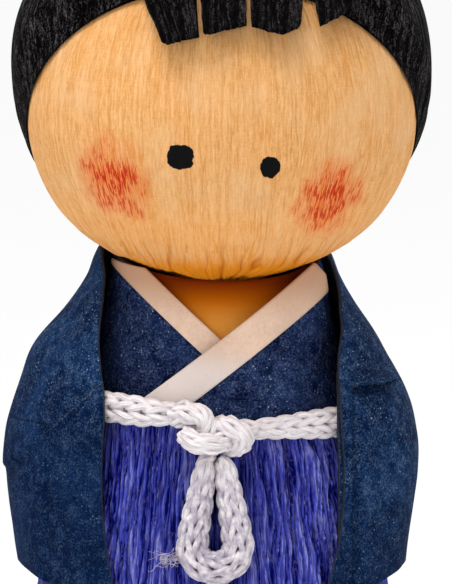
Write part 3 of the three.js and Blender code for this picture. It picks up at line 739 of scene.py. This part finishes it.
def makeLoop():
    hinge = pivots["bow_loop_lift"]
    half, neckOut, long = loop["wide"] / 2, loop["neck"], loop["long"]
    bottom = -long + half
    left = [(-neckOut * 0.7, loop["inKnot"]), (-neckOut, 0.6),
            (-neckOut - (half - neckOut) * 0.48, -long * 0.32), (-half, bottom)]
    bend = [(half * cos(pi * (1 + s)), bottom + half * sin(pi * (1 + s)))
            for s in (0.25, 0.5, 0.75)]
    flat = left + bend + [(-x, z) for x, z in reversed(left)]

    def hung(x, z):
        return hinge + Vector((x, loop["lean"] * min(z, 0) / long - loop["neckLean"] * max(z, 0), z))

    def size(share):
        return between(loop["neckHalf"], loop["half"], sin(pi * share) ** 0.75)
    route = curveThrough([hung(x, z) for x, z in flat], 24)
    piece, spaced, length = knitCord("bowLoop", route, lambda p: Vector((0, -1, 0.1)), size, size, 5,
                                     "bow_loop", "bow_loop")
    path = [p * mm for p in spaced]
    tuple(path[0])
    length * mm


tuft = {"strands": 13, "root": (-4.1, -20.9, 18.6), "reach": 2.2, "curl": 1.7, "radius": 0.026,
        "steps": 24}


def makeTuft():  # loose filaments pulled out of the loop's side
    strands = []
    for i in range(tuft["strands"]):
        start = Vector(tuft["root"]) + Vector((0, 0, 0.8 * wander(i * 1.7)))
        reach = Vector((-tuft["reach"] - 1.6 * wander(i * 2.3, 5), 0.8 * wander(i * 3.1, 2),
                        2 * wander(i * 1.3, 8)))
        strand = []
        for k in range(tuft["steps"] + 1):
            curl = Vector((wander(i * 5.3, k * 0.14), wander(i * 3.7, k * 0.16, 4),
                           wander(i * 4.9, k * 0.15, 9)))
            strand.append(start + reach * (k / tuft["steps"]) + curl * tuft["curl"] * min(k / 8, 1))
        strands.append(strand)
    toPiece(sweepCurve(strands, tuft["radius"], 0), "fibreTuft", knitYarn, "bow_loop")


makeLoop()
makeTuft()
makeBelt()
makeKnot()
print("knitted cord made")


# Head: a ball of crepe paper, gathered under the chin

face = {"rows": 120, "steps": 560, "even": 0.55, "lowest": -81, "folds": 52, "depth": 0.28, "cheek": 0.5,
        "gatherFrom": -34, "gatherBehind": 10, "sag": 0.45, "lapDrop": 24, "lap": 0.5, "proud": 0.3,
        "tail": [(3, -3), (3.6, -2.6)]}  # radius and drop of the gathered ends


def makeFace():
    span = 90 - face["lowest"]
    tailRows = len(face["tail"])
    lastRow = face["rows"] + tailRows

    def at(turn, t):
        row = round(t * lastRow)
        if row < tailRows:
            radius, drop = face["tail"][row]
            return around(turn, radius, radius, drop - ball["tall"]) + ball["centre"]
        latitude = face["lowest"] + span * (row - tailRows) / face["rows"]
        radius = ball["wide"] * cos(radians(latitude)) if latitude < 90 else 0
        # the folds run to a point behind the chin
        behind = min(face["gatherBehind"] * smoothStep(-25, -85, latitude), 0.7 * radius)
        aside = behind * sin(turn)
        out = behind * cos(turn) + sqrt(max(radius ** 2 - aside ** 2, 0))
        point = Vector((out * sin(turn), behind - out * cos(turn),
                        ball["tall"] * sin(radians(latitude))))
        normal = Vector((point.x / ball["wide"] ** 2, point.y / ball["wide"] ** 2,
                         point.z / ball["tall"] ** 2))
        push, gather = facePush(turn, latitude, point)
        point += normal.normalized() * push + ball["centre"]
        return (*point, gather)
    size = (2 * pi * ball["wide"] * face["even"], radians(span) * ball["wide"])
    bm = ringSheet(face["steps"], lastRow, size, lambda turn: lambda t: at(turn, t), even=face["even"])
    piece = toPiece(bm, "faceBall", skinCrepe, "head", "face_skin")


# Wrinkles, gathers and the lapped fold, off the smooth ball, and how deep in a gather the place is, which
# the finish uses for painted shade in the gathers
def facePush(turn, latitude, point):
    wrinkle = 0.13 * roundTurn(turn, 14, latitude / 20) + 0.07 * roundTurn(turn, 42, latitude / 12)
    sharp = max(0, 1 - abs(roundTurn(turn, 11, latitude / 30)) / 0.1)
    wrinkle -= 0.08 * sharp * smoothStep(-0.05, 0.35, roundTurn(turn, 4, latitude / 25 + 7))
    low = smoothStep(face["gatherFrom"], -70, latitude)
    bend = turn + 0.1 * roundTurn(turn, 5, latitude / 22) + 0.05 * roundTurn(turn, 11, latitude / 15)
    fold = abs(sin(bend * face["folds"] / 2)) ** 0.7 + 0.55 * roundTurn(turn, 13, latitude / 40)
    push = wrinkle * (1 - 0.3 * low) - face["depth"] * low * (1 - fold)
    push += face["cheek"] * hump(latitude + 38, 20)
    side = atan2(point.x, -point.y)
    lap = latitude + 80 - face["lapDrop"] * smoothStep(0.1, -1.3, side) + 2.5 * wander(side * 4, 3)
    lip = hump(lap, 4.5 if lap > 0 else 1.6) - 0.5 * smoothStep(0, -2.5, lap)
    push += face["lap"] * lip * smoothStep(-1.75, -1.35, side) * smoothStep(0.3, -0.2, side)
    push = min(push, face["proud"] + smoothStep(-54, -36, latitude))  # turns clear of the clothes
    sag = face["sag"] * smoothStep(-75.5, -79.5, latitude)  # hangs into the neckline
    return push + sag, low * clampTo(1 - 1.9 * fold, 0, 1)


hair = {"rows": 90, "steps": 520, "drop": 15.6, "setback": 5.9, "tilt": 40, "gap": 0.3,
        "thick": [(-44.5, 0.9), (0, 1.1), (38, 4.1), (90, 3.8)]}  # latitude and thickness
hairThick = smoothThrough(hair["thick"])
hairNormal = Vector((0, cos(radians(hair["tilt"])), sin(radians(hair["tilt"]))))


def ballShare(point):  # 1 on the ball's surface, about its middle
    return Vector((point.x / ball["wide"], point.y / ball["wide"], point.z / ball["tall"])).length


def behindHairline(point):
    return (point + Vector((0, hair["setback"], 0))).dot(hairNormal)


def combed(point, onRim):  # strands, and the roll at the hairline
    turn = atan2(point.x, -point.y)
    rise = point.z / ball["tall"]
    share = ballShare(point)
    rolled = 1 + (share - 1) * (0.14 + 0.86 * smoothStep(-0.5, 5, behindHairline(point)))
    strands = 0.22 * roundTurn(turn, 14, rise * 1.4) + 0.14 * roundTurn(turn, 34, rise * 2)
    broad = 0.35 * roundTurn(turn, 3, rise * 1.2) * smoothStep(-0.5, 0.2, rise)
    moved = point * (rolled / share)
    grown = 0.1 + 0.9 * smoothStep(0, 2.5, behindHairline(point))
    moved += moved.normalized() * (strands * grown + broad)
    if onRim and moved.z < 2.5 - hair["drop"]:  # the hem is cut by hand
        moved.z += 0.8 * roundTurn(turn, 5, 2) + 0.5 * floor(2 * roundTurn(turn, 12, 0))
    return moved


def onHair(turn, latitude):
    grown = hair["gap"] + hairThick(degrees(latitude))
    radius = (ball["wide"] + grown) * cos(latitude)
    return around(turn, radius, radius, (ball["tall"] + grown) * sin(latitude))


def hairStart(turn):  # the latitude of the hem or, at the front and sides, of the tilted hairline
    low, high = -asin(hair["drop"] / ball["tall"]), pi / 2
    if behindHairline(onHair(turn, low)) >= 0:
        return low
    while high - low > 1e-6:
        middle = (low + high) / 2
        if behindHairline(onHair(turn, middle)) < 0:
            low = middle
        else:
            high = middle
    return high


def makeHair():
    def place(turn):
        start = hairStart(turn)
        return lambda t: onHair(turn, between(start, pi / 2, t))
    size = (2 * pi * ball["wide"], (pi / 2 - hairStart(pi)) * ball["wide"])
    bm = ringSheet(hair["steps"], hair["rows"], size, place, 0)  # the map's seam is at the front
    for vert in bm.verts:
        vert.co = combed(vert.co, vert.is_boundary)
    copied = bmesh.ops.duplicate(bm, geom=bm.verts[:] + bm.edges[:] + bm.faces[:])["geom"]
    for vert in [g for g in copied if isinstance(g, bmesh.types.BMVert)]:  # the inside lies on the ball
        vert.co *= (1 + hair["gap"] / ball["wide"]) / ballShare(vert.co)
    bmesh.ops.reverse_faces(bm, faces=[g for g in copied if isinstance(g, bmesh.types.BMFace)])
    rim = bmesh.ops.bridge_loops(bm, edges=[e for e in bm.edges if e.is_boundary])["faces"]
    for corner in [c for part in rim for c in part.loops]:  # no strands show on the cut edge
        corner[bm.loops.layers.uv["weave"]].uv = (0, 0)
    bmesh.ops.recalc_face_normals(bm, faces=bm.faces)
    bmesh.ops.translate(bm, vec=ball["centre"], verts=bm.verts)
    piece = toPiece(bm, "hairCap", hairCrepe, "head", "hair_cap")


# Strips in millimetres from the ball's middle: the edges at the root, and the points of the cut end.
fringe = {"paper": 0.55, "lift": 3.2, "lower": 0.3, "root": 19, "off": 0.75, "long": 12, "strips": [
    (-10.4, -3.25, [(-7.4, 9.4), (-2.9, 10.3)]),
    (-2.85, 3, [(-2.3, 10.6), (3, 11.8)]),
    (3.5, 10.2, [(3.8, 11.7), (7.2, 10.8), (9.7, 11.6)]),
    (11.2, 17.6, [(12, 11.5), (15.4, 13), (17.4, 12.2)])]}


def fringeStrip(bm, number, left, right, end):
    cut = smoothThrough(end)

    def place(s):
        ragged = 0.22 * wander(s * 9, number * 5.1) + 0.12 * wander(s * 30, number * 3.3)
        xEnd = between(end[0][0], end[-1][0], s)
        zEnd = cut(xEnd) + ragged - fringe["lower"]
        xRoot = between(left, right, s)

        def column(t):
            edge = 0.12 * wander(t * 7, number * 2.7 + (s > 0.5)) * (abs(2 * s - 1) ** 4)
            x = xRoot + (xEnd - xRoot) * smoothStep(0, 1, t) * t + edge
            z = between(fringe["root"], zEnd, t)
            stand = fringe["off"] + fringe["lift"] * t ** 2.5 * (0.8 + 0.3 * wander(s * 2, number))
            flat = 1 - (x / (ball["wide"] + stand)) ** 2 - (z / (ball["tall"] + stand)) ** 2
            ridge = 0.1 * wander(s * 16, number * 4, t * 1.5)
            deep = (ball["wide"] + stand + ridge) * sqrt(max(flat, 0))
            return Vector((x, -deep, z)) + ball["centre"]
        return column
    return gridSheet(44, 30, place, (right - left, fringe["long"]), bm)


def makeFringe():
    bm = None
    for number, strip in enumerate(fringe["strips"]):
        bm = fringeStrip(bm, number, *strip)
    faceOut(bm, ball["centre"].xy)
    piece = toPiece(bm, "fringeStrips", fringeCrepe, "head", "fringe")
    thicken(piece, fringe["paper"])


makeFace()
makeHair()
makeFringe()
print("head made")


# Kimono: chest paper, two front panels and their collars

collarUnder = {"width": 2.9, "shoulder": -8.6, "height": 54, "run": 11.2, "drop": 10.3, "end": 56.3}
collarOver = {"width": 4.1, "shoulder": 12.7, "height": 54, "run": -21, "drop": 16, "end": 54.2}
layers = {"chest": 0.65, "back": 1.3, "kimonoUnder": 1.3, "collarUnder": 1.95, "kimonoOver": 2.6,
          "collarOver": 3.25}  # how far each lies off the tube
# left clear under the head, which turns
headRoom = {"wrapped": 0.42, "panel": 0.55, "collar": 0.35, "collarTop": 0.3, "haori": 0.5}
panelTuck = 0.8  # the panel's edge lies this far inside its collar's edge


def neckEdge(collar):
    return lambda z: collar["shoulder"] + collar["run"] * (collar["height"] - z) / collar["drop"]


def topUnderHead(place, kind):  # the height where a column of a sheet comes up to the ball
    z = neckHeight
    for _ in range(6):
        point = place(z)
        z = min(neckHeight, ballUnderside(point.x, point.y, headRoom[kind]))
    return z


def makePanel(name, collar, node):
    off = layers[name]
    edge = neckEdge(collar)
    aside = copysign(1, collar["run"])

    def place(s):
        def at(z):
            neckSide = edge(max(z, hakamaTop)) - aside * panelTuck
            start = turnTo(neckSide, tube["wide"](z) + off)
            return roundTube(between(start, -aside * pi / 2, s), z, off)
        top = topUnderHead(at, "panel")

        def column(t):
            point = at(between(kimonoLow, top, t))
            dent = 0.25 * wander(point.x * 0.16, off * 3, point.z * 0.12)
            dent += 0.08 * wander(point.x * 0.5, off, point.z * 0.5)
            return point + awayFromAxis(point) * dent * smoothStep(1, 0.9, t)
        return column
    bm = gridSheet(48, 36, place)
    piece = paperPiece(bm, name, kimonoWashi, "kimono_washi", node, washiPaper, kimonoEdge)


def makeCollar(name, collar, node):
    off = layers[name]
    edge = neckEdge(collar)
    aside = copysign(1, collar["run"])
    run = Vector((collar["run"], -collar["drop"])).normalized()
    across = Vector((-aside * abs(run.y), -abs(run.x)))

    def place(s):
        def at(z):
            flat = Vector((edge(z), z)) + across * collar["width"] * s
            height = clampTo(flat.y, hakamaTop, neckHeight)
            turn = turnTo(flat.x, tube["wide"](height) + off, 0.97)
            return roundTube(turn, height, off)
        rise = collar["width"] * s * abs(run.x)
        low = hakamaTop + 0.3 + rise
        top = min(topUnderHead(at, "collar") + rise, collar["end"])

        def column(t):
            point = at(between(low, top, t))
            point.z = min(point.z, ballUnderside(point.x, point.y, headRoom["collarTop"]))
            swell = 0.1 * sin(pi * s) + 0.08 * wander(point.z * 0.2, off)
            return point + awayFromAxis(point) * swell
        return column
    paperPiece(gridSheet(14, 60, place), name, collarPaper, "collar_paper", node, washiPaper)


def wrapped(off, first, last, low):  # a sheet round the body from one turn to another, up to the head
    def place(s):
        turn = between(first, last, s)
        top = topUnderHead(lambda z: roundTube(turn, z, off), "wrapped")
        return lambda t: roundTube(turn, between(low, top, t), off)
    return gridSheet(60, 24, place)


def makeChest():
    bm = wrapped(layers["chest"], -pi / 2, pi / 2, hakamaTop)
    piece = paperPiece(bm, "chestPaper", chestPaper, "chest_paper", "chest_paper", washiPaper)


def makeKimonoBack():
    bm = wrapped(layers["back"], pi / 2, 1.5 * pi, kimonoLow)
    piece = paperPiece(bm, "kimonoBack", kimonoWashi, "kimono_washi", "kimono_back", washiPaper,
                       kimonoEdge)


makeChest()
makeKimonoBack()
makePanel("kimonoUnder", collarUnder, "kimono_under")
makePanel("kimonoOver", collarOver, "kimono_over")
makeCollar("collarUnder", collarUnder, "collar_under")
makeCollar("collarOver", collarOver, "collar_over")
print("kimono made")


# Hakama: crinkled crepe paper, gathered under the belt

hakama = {"low": 0.5, "hemWide": 22.9, "hemDeep": 18.4, "off": 3.65, "flare": 1.6, "paper": 0.35,
          "pleats": 28, "pleat": 0.2, "strand": 0.55, "broad": 0.3, "inset": 0.45,
          "rows": 64, "steps": 720, "even": 0.45, "girth": 125, "long": 37,
          "tieDrop": 0.45, "knotDip": 0.9, "knotWide": 4}  # the top edge, behind belt and knot
hakamaRise = hakamaTop - hakama["low"]


def hakamaSize(z):
    flare = 1 - clampTo((z - hakama["low"]) / hakamaRise, 0, 1) ** hakama["flare"]
    wide = tube["wide"](hakamaTop) + hakama["off"]
    deep = tube["front"](hakamaTop) + hakama["off"]
    return between(wide, hakama["hemWide"], flare), between(deep, hakama["hemDeep"], flare)


def makeHakama():
    rows = hakama["rows"]
    sizes = [hakamaSize(hakama["low"] + hakamaRise * i / rows) for i in range(rows + 1)]

    def at(turn, t):
        z = hakama["low"] + hakamaRise * t
        wide, deep = sizes[round(t * rows)]
        bend = turn + 0.025 * roundTurn(turn, 6, z * 0.12) + 0.02 * roundTurn(turn, 22, z * 0.25)
        ridge = clampTo(1 - abs(roundTurn(bend, 60, z * 0.1)) / 0.3, 0, 1)
        broad = roundTurn(bend, 17, z * 0.09)
        held = 0.45 + 0.55 * smoothStep(hakamaTop, hakamaTop - 5, z)
        pleat = hakama["pleat"] * cos(hakama["pleats"] * bend)
        folds = hakama["strand"] * ridge + hakama["broad"] * broad + pleat
        grow = folds * held - hakama["inset"]
        # the top edge stays behind the belt and dips behind the knot
        x = wide * sin(turn)
        dip = beltSag(x) - hakama["knotDip"] * hump(x - knot["middle"][0], hakama["knotWide"])
        tied = dip * smoothStep(-0.3, 0.3, cos(turn)) - hakama["tieDrop"]
        height = z + tied * smoothStep(hakamaTop - 8, hakamaTop, z)
        # the relief also sets the painted shade in the furrows and the painted highlight on the ridges
        relief = 0.2 + 0.65 * ridge + 0.4 * broad
        return (*around(turn, wide + grow, deep + grow, height), relief)
    size = (hakama["girth"] * hakama["even"], hakama["long"])
    bm = ringSheet(hakama["steps"], rows, size, lambda turn: lambda t: at(turn, t), even=hakama["even"])
    piece = paperPiece(bm, "hakamaSkirt", hakamaCrepe, "hakama_crepe", "hakama", hakama["paper"])


makeHakama()
print("hakama made")


# Haori: one folded sheet with the sleeves tucked into its armholes

haori = {"paper": 0.45, "hem": 11, "hemRise": 5, "tuck": 1.6, "under": 0.8, "slit": 1,
         "clear": 0.12, "slitBend": 2, "slitDeep": 0.6,  # of the sleeves, under the yoke
         # height, and how far it stands off the tube at the side, the front and the back
         "stand": [(11, 7.4, 7, 7.6), (20.03, 8.7, 5.6, 7.6), (29.06, 10.5, 5.6, 7.6),
                   (35.4, 10.5, 6.6, 8), (42.2, 8.6, 5.4, 6.5), (56, 3.9, 4.3, 4.4)],
         # height and place of the front edges
         "left": [(10, -11.7), (15, -12.5), (21, -13.5), (28, -13.7), (36, -13.3), (42, -13.4),
                  (50, -14.4), (56, -14.5)],
         "right": [(10, 13.5), (15, 14.7), (21, 16.1), (28, 16.6), (36, 16.3), (42, 16), (47, 16.7),
                   (51, 16.9), (53, 16.2), (56, 14.5)]}
haoriPaper = (haori["paper"], haoriEdge, haoriShadeInside)
armholes = {-1: {"inset": 20.4, "top": 34.5, "open": 0}, 1: {"inset": 17.5, "top": 39.2, "open": 1}}
haoriWide, haoriFront, haoriBack = (
    smoothThrough([(row[0], tube[part](row[0]) + row[k]) for row in haori["stand"]])
    for k, part in ((1, "wide"), (2, "front"), (3, "front")))
openLeft = smoothThrough(haori["left"])
openRight = smoothThrough(haori["right"])


def onHaori(turn, z, off=0):  # off is outwards
    depth = haoriFront(z) if cos(turn) > 0 else haoriBack(z)
    return around(turn, haoriWide(z) + off, depth + off, z)


def hemLine(x):
    return haori["hem"] + haori["hemRise"] * clampTo(abs(x) / haoriWide(haori["hem"]), 0, 1) ** 3


def dented(point):  # soft dents of folded paper
    x, y, z = point
    push = 0.34 * wander(x * 0.1, y * 0.1, z * 0.07) + 0.13 * wander(x * 0.3, y * 0.3, z * 0.22)
    push -= 0.8 * (smoothStep(43.5, 51, z) - 0.4 * smoothStep(52, 55, z))
    push += 1.1 * hump(z - 43, 4.6) * smoothStep(-8, -18, x)  # the left side is fuller
    if y < 2 and x < -12:  # the crease runs down to the left from the front edge
        above = z - crease["height"] - crease["slope"] * (x - crease["across"])
        inFront = smoothStep(2, -4, y) * smoothStep(-12.6, -16, x)
        push += 0.6 * exp(-max(above, 0) / 3) * smoothStep(-0.5, 0.3, above) * inFront
        push -= 0.4 * hump(above + 0.9, 1.1) * inFront
    return point + awayFromAxis(point) * push


def slitShare(x, hole):  # 1 where the armhole's upper edge stands open, 0 at the doll's side
    return hole["open"] * (1 - smoothStep(hole["inset"] + 3.2, hole["inset"] + 5.6, abs(x)))


def makeHaori():
    def place(s):
        def at(z):
            left = turnTo(openLeft(z), haoriWide(z))
            right = turnTo(openRight(z), haoriWide(z)) - 2 * pi
            return onHaori(between(left, right, s), z)
        top = topUnderHead(at, "haori")
        low = hemLine(at(haori["hem"]).x)

        def column(t):
            point = at(between(low, top, t))
            hole = armholes[copysign(1, point.x)]
            above = point.z - hole["top"]
            lift = haori["slit"] * smoothStep(2.5, 0, above) * smoothStep(-0.2, 0, above)
            inside = smoothStep(hole["inset"] - 0.5, hole["inset"] + 1, abs(point.x))
            lift *= slitShare(point.x, hole) * inside
            return dented(point) + awayFromAxis(point) * lift
        return column
    bm = gridSheet(220, 80, place)
    for side, hole in armholes.items():
        cuts = (((side * hole["inset"], 0, 0), (1, 0, 0)), ((0, 0, hole["top"]), (0, 0, 1)))
        for co, normal in cuts:
            everything = bm.verts[:] + bm.edges[:] + bm.faces[:]
            bmesh.ops.bisect_plane(bm, geom=everything, plane_co=co, plane_no=normal)
    gone = []
    for part in bm.faces:
        middle = part.calc_center_median()
        hole = armholes[copysign(1, middle.x)]
        if abs(middle.x) > hole["inset"] and middle.z < hole["top"]:
            gone.append(part)
    bmesh.ops.delete(bm, geom=gone, context="FACES")
    piece = paperPiece(bm, "haoriBody", haoriWashi, "haori_washi", "haori_body", *haoriPaper)


def makeSleeve(name, side, node):
    hole = armholes[side]

    def place(s):
        def at(z, off=0):
            inset = turnTo(hole["inset"] - haori["under"], haoriWide(z))
            return onHaori(side * between(inset, pi - inset, s), z, off)
        low = hemLine(at(haori["hem"]).x)
        aside = abs(at(hole["top"]).x)
        gaping = slitShare(aside, hole)
        bendIn = haori["clear"] + haori["slitBend"] * gaping  # how far below the yoke it bends in
        bendAt = hole["top"] - bendIn
        deep = haori["paper"] + haori["clear"] + haori["slitDeep"] * gaping

        def column(t):
            outside = min(t / 0.8, 1)  # the last fifth of the rows goes under the yoke
            z = between(low, bendAt, outside) + (bendIn + haori["tuck"]) * max(t / 0.2 - 4, 0)
            tucked = max(smoothStep(bendAt, hole["top"] - 0.02, z),
                         1 - smoothStep(hole["inset"] - 0.1, hole["inset"] + 1.6, abs(at(z).x)))
            return dented(at(z, -deep * tucked))
        return column
    bm = gridSheet(90, 70, place)
    piece = paperPiece(bm, name, haoriWashi, "haori_washi", node, *haoriPaper)


makeHaori()
makeSleeve("sleeveLeft", -1, "sleeve_left")
makeSleeve("sleeveRight", 1, "sleeve_right")
print("haori made")


# Solids that stay, with their own papers

inside = {"base_disc": cardBoard, "body_tube": cardBoard, "neck_socket": cardBoard,
          "head_core": cottonWad, "body_wadding": cottonWad, "neck_peg": pegBamboo,
          "neck_thread": collarPaper}
for name, material in inside.items():
    papers = frame["nodes"][name].data.materials
    papers.clear()
    papers.append(material)
